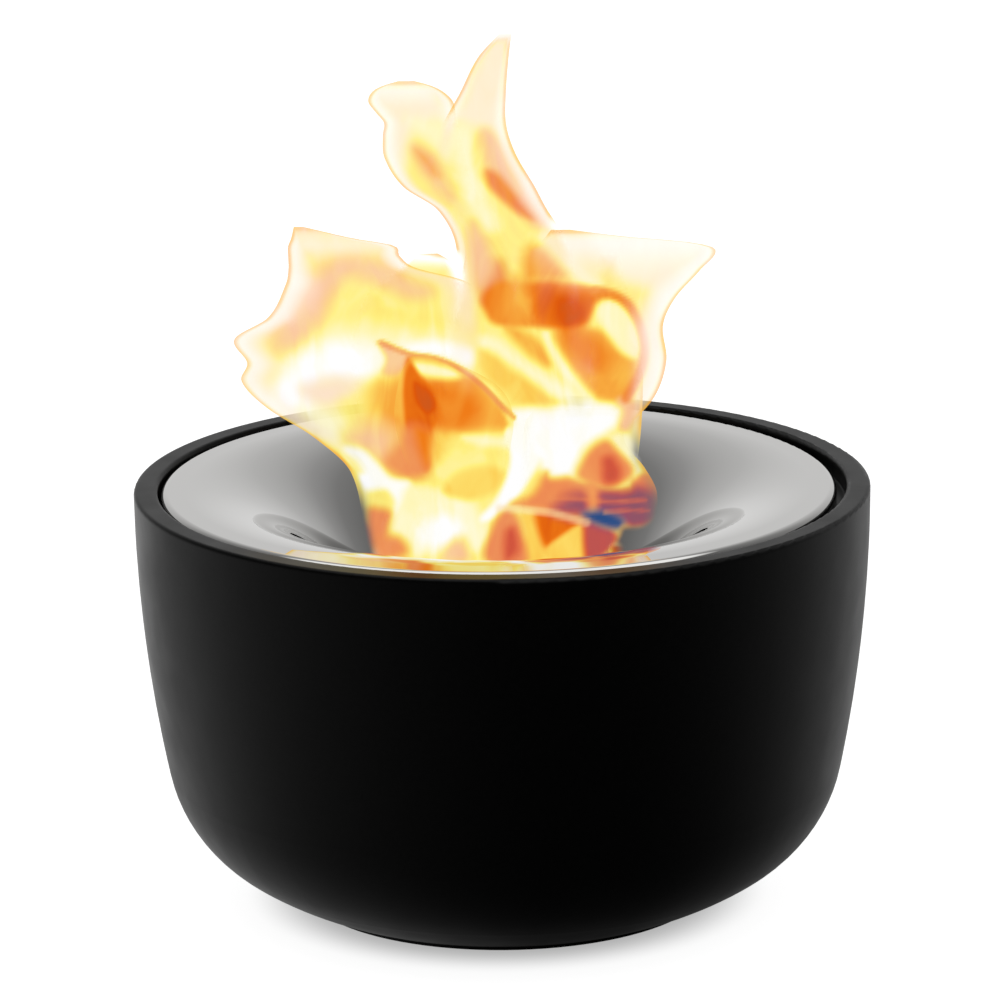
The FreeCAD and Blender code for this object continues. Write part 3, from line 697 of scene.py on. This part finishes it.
def make_world():
    """White backdrop that falls off to every side and is dark towards the camera, with a bright lamp field
    overhead, as the polished plate shows it."""
    world = bpy.data.worlds.new("studio")
    world.use_nodes = True
    tree = world.node_tree
    tree.nodes.clear()
    ray = add(tree, "ShaderNodeLightPath")
    direction = add(tree, "ShaderNodeTexCoord").outputs["Generated"]
    apart = add(tree, "ShaderNodeSeparateXYZ", {"Vector": direction})
    behind = add(tree, "ShaderNodeMapRange", {"Value": apart.outputs["Y"], "From Min": -1.0})
    room = add(tree, "ShaderNodeValToRGB", {"Fac": behind.outputs["Result"]},
               ((0.3, "404040"), (0.5, "606060"), (0.65, "747474"), (0.775, "868686"), (0.85, "9e9e9e"),
                (0.9, "b3b3b3"), (0.95, "c2c2c2"), (0.985, "d4d4d4"), (1.0, "e0e0e0")))
    lamp = add(tree, "ShaderNodeMapRange", {"Value": apart.outputs["Z"], "From Min": LAMP_EDGE[0],
                                            "From Max": LAMP_EDGE[1], "To Min": 0.0, "To Max": LAMP_STRENGTH},
               interpolation_type="SMOOTHSTEP")
    light = add(tree, "ShaderNodeMath", {0: room.outputs["Color"], 1: lamp.outputs["Result"]},
                operation="MAXIMUM")
    seen = add(tree, "ShaderNodeMath", {0: ray.outputs["Is Camera Ray"],
                                        1: ray.outputs["Is Transmission Ray"]}, operation="MAXIMUM")
    strength = add(tree, "ShaderNodeMix", {"Factor": seen.outputs[0], "A": light.outputs[0], "B": 1.0})
    shader = add(tree, "ShaderNodeBackground", {"Color": (1, 1, 1, 1),
                                                "Strength": strength.outputs["Result"]})
    add(tree, "ShaderNodeOutputWorld", {"Surface": shader.outputs["Background"]})
    bpy.context.scene.world = world


DARK_BEARING = (0.34, -0.94, 0.0)   # where the table's painted reflection is darkest: the unlit side of the studio, in front and a little to the right
SHADOW_REACH = 24 * MM              # from the foot to where the table's painted shadow ends and its glow is full
TABLE_HALF = 8.0                    # metres


def make_floor():
    """White table top: a glow makes it white all round, dimmed near the foot into a painted shadow that joins
    the real shade under the bowl; to reflections it shows a painted glow, dark in front like the unlit side
    of the studio."""
    material, tree = empty_material("white_table")
    ray = add(tree, "ShaderNodeLightPath")
    place = add(tree, "ShaderNodeTexCoord").outputs["Object"]
    reach = add(tree, "ShaderNodeVectorMath", {0: place}, operation="LENGTH")
    # painted shadow: the glow that camera rays see falls from 0.95 to 0.45 towards the foot, a dark ring
    # under the bowl
    glow_with_painted_shadow = add(tree, "ShaderNodeMapRange", {
        "Value": reach.outputs["Value"], "From Min": foot_radius, "From Max": foot_radius + SHADOW_REACH,
        "To Min": 0.45, "To Max": 0.95}, interpolation_type="SMOOTHSTEP")
    bearing = add(tree, "ShaderNodeVectorMath", {0: place}, operation="NORMALIZE")
    front = add(tree, "ShaderNodeVectorMath", {0: bearing.outputs[0], 1: DARK_BEARING},
                operation="DOT_PRODUCT")
    # painted reflection: glossy rays see the table glow by bearing, dark in front and bright behind, standing
    # in for the studio
    lit = add(tree, "ShaderNodeMapRange", {"Value": front.outputs["Value"], "From Min": -0.4,
                                           "From Max": 0.98, "To Min": 0.66, "To Max": 0.05})
    rear = add(tree, "ShaderNodeMapRange", {"Value": front.outputs["Value"], "From Min": -0.95,
                                            "From Max": -0.6, "To Min": 1.0, "To Max": 0.0})
    shown = add(tree, "ShaderNodeMath", {0: lit.outputs["Result"], 1: rear.outputs["Result"]},
                operation="MAXIMUM")
    seen = add(tree, "ShaderNodeMath", {0: ray.outputs["Is Camera Ray"],
                                        1: ray.outputs["Is Transmission Ray"]}, operation="MAXIMUM")
    bright = add(tree, "ShaderNodeMath", {0: seen.outputs[0], 1: glow_with_painted_shadow.outputs["Result"]},
                 operation="MULTIPLY")
    paper = add(tree, "ShaderNodeBsdfDiffuse", {"Color": linear("b4b4b4")})
    glow = add(tree, "ShaderNodeEmission", {"Color": (1, 1, 1, 1), "Strength": bright.outputs[0]})
    both = add(tree, "ShaderNodeAddShader", {0: paper.outputs[0], 1: glow.outputs[0]})
    painted_reflection_glow = add(tree, "ShaderNodeEmission", {"Color": (1, 1, 1, 1), "Strength": shown.outputs[0]})
    surface = add(tree, "ShaderNodeMixShader", {"Fac": ray.outputs["Is Glossy Ray"], 1: both.outputs[0],
                                                2: painted_reflection_glow.outputs[0]})
    add(tree, "ShaderNodeOutputMaterial", {"Surface": surface.outputs[0]})
    corners = [(TABLE_HALF * x, TABLE_HALF * y, 0) for x, y in ((-1, -1), (1, -1), (1, 1), (-1, 1))]
    mesh = bpy.data.meshes.new("table")
    mesh.from_pydata(corners, [], [(0, 1, 2, 3)])
    mesh.materials.append(material)
    table = bpy.data.objects.new("table", mesh)
    bpy.context.scene.collection.objects.link(table)


def make_camera():
    rise = CAMERA_DISTANCE * math.tan(CAMERA_ELEVATION)
    target = Vector((0, 0, rim_height))
    place = Vector((0, -CAMERA_DISTANCE, rim_height + rise))
    focal_pixels = RIM_PIXELS / (2 * rim_radius) * (place - target).length
    data = bpy.data.cameras.new("camera")
    data.sensor_width = SENSOR
    data.lens = SENSOR * focal_pixels / IMAGE
    data.shift_x = -(RIM_MIDDLE[0] - IMAGE / 2) / IMAGE
    data.shift_y = -(IMAGE / 2 - RIM_MIDDLE[1]) / IMAGE
    camera = bpy.data.objects.new("camera", data)
    bpy.context.scene.collection.objects.link(camera)
    aim = (target - place).to_track_quat("-Z", "Y").to_matrix().to_4x4()
    camera.matrix_world = Matrix.Translation(place) @ aim @ Matrix.Rotation(CAMERA_ROLL, 4, "Z")
    bpy.context.scene.camera = camera


paint_nodes()
make_flame()
make_world()
make_floor()
make_camera()
bpy.context.scene.view_settings.view_transform = "Standard"
